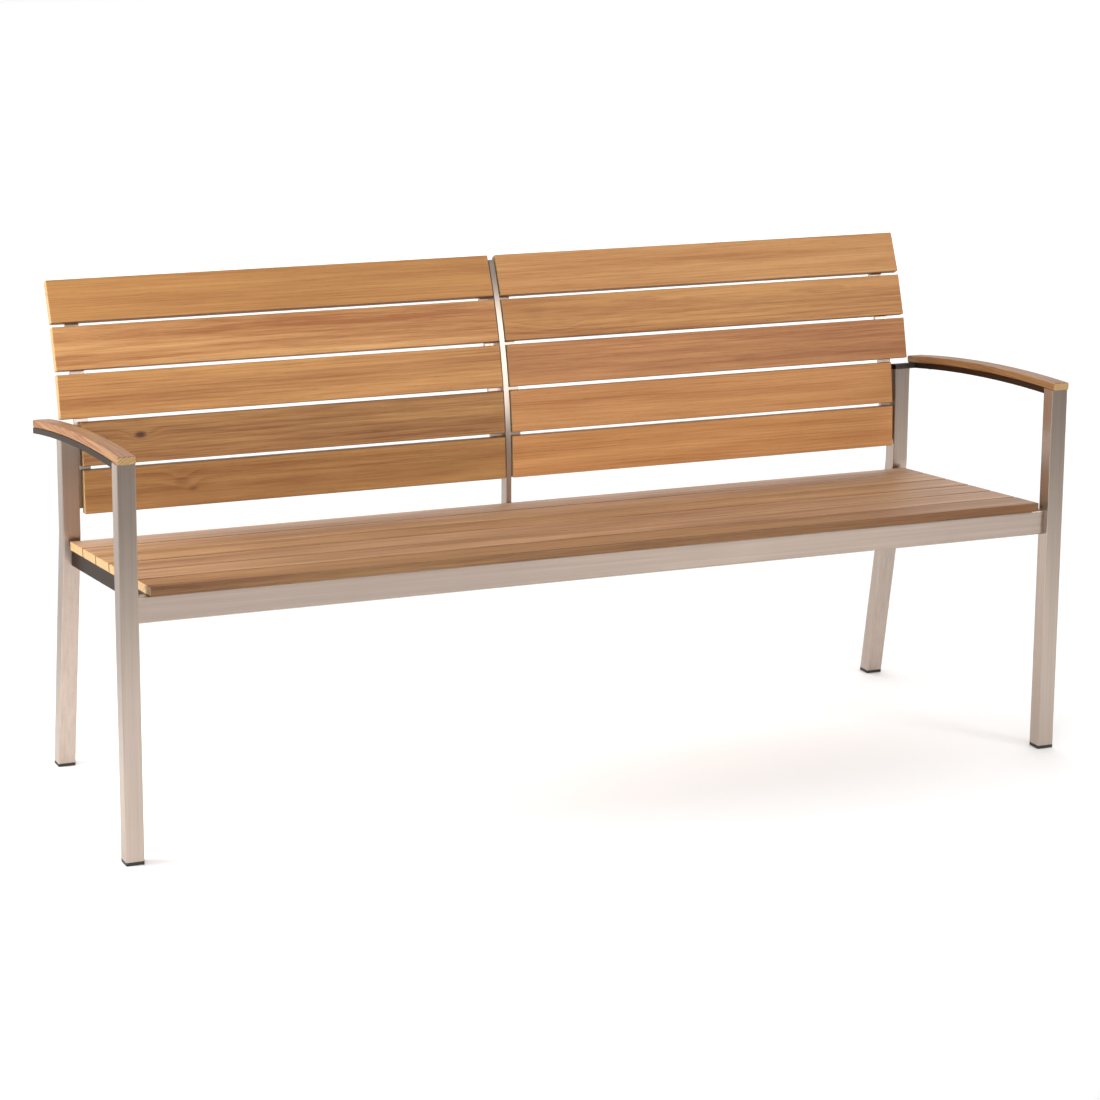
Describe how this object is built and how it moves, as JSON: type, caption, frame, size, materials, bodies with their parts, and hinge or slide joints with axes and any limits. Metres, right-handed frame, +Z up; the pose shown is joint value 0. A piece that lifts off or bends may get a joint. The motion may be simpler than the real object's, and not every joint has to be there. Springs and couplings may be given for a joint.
{
  "type": "garden bench",
  "caption": "Garden bench with a welded steel frame, sloping slatted wooden seat, curved slatted back split at the middle, and curved wooden armrests.",
  "frame": {"origin": "on the ground under the centre of the bounding box", "axes": "+X along the bench, to the right when it is seen from the front; +Y from the front to the back; +Z up"},
  "size_m": [1.8, 0.6208, 0.8984],
  "materials": {
    "slat_wood": "oiled, open grain",
    "frame_steel": "brushed along each bar",
    "screw_steel": "bright, turned",
    "foot_plastic": "matt, moulded"
  },
  "bodies": {
    "root": {"arm_screws": "screw_steel", "arm_strip_left": "frame_steel", "arm_strip_right": "frame_steel", "armrest_left": "slat_wood", "armrest_right": "slat_wood", "back_batten_inner_left": "frame_steel", "back_batten_inner_right": "frame_steel", "back_batten_outer_left": "frame_steel", "back_batten_outer_right": "frame_steel", "back_screws": "screw_steel", "back_slat_left_1": "slat_wood", "back_slat_left_2": "slat_wood", "back_slat_left_3": "slat_wood", "back_slat_left_4": "slat_wood", "back_slat_left_5": "slat_wood", "back_slat_right_1": "slat_wood", "back_slat_right_2": "slat_wood", "back_slat_right_3": "slat_wood", "back_slat_right_4": "slat_wood", "back_slat_right_5": "slat_wood", "centre_post": "frame_steel", "foot_cap_front_left": "foot_plastic", "foot_cap_front_right": "foot_plastic", "foot_cap_rear_left": "foot_plastic", "foot_cap_rear_right": "foot_plastic", "front_leg_left": "frame_steel", "front_leg_right": "frame_steel", "front_rail": "frame_steel", "rear_leg_left": "frame_steel", "rear_leg_right": "frame_steel", "rear_rail": "frame_steel", "seat_bearer_left": "frame_steel", "seat_bearer_right": "frame_steel", "seat_ledge_left": "frame_steel", "seat_ledge_right": "frame_steel", "seat_screws": "screw_steel", "seat_slat_1": "slat_wood", "seat_slat_2": "slat_wood", "seat_slat_3": "slat_wood", "seat_slat_4": "slat_wood", "seat_slat_5": "slat_wood", "seat_slat_6": "slat_wood", "side_rail_left": "frame_steel", "side_rail_right": "frame_steel"}
  },
  "joints": []
}
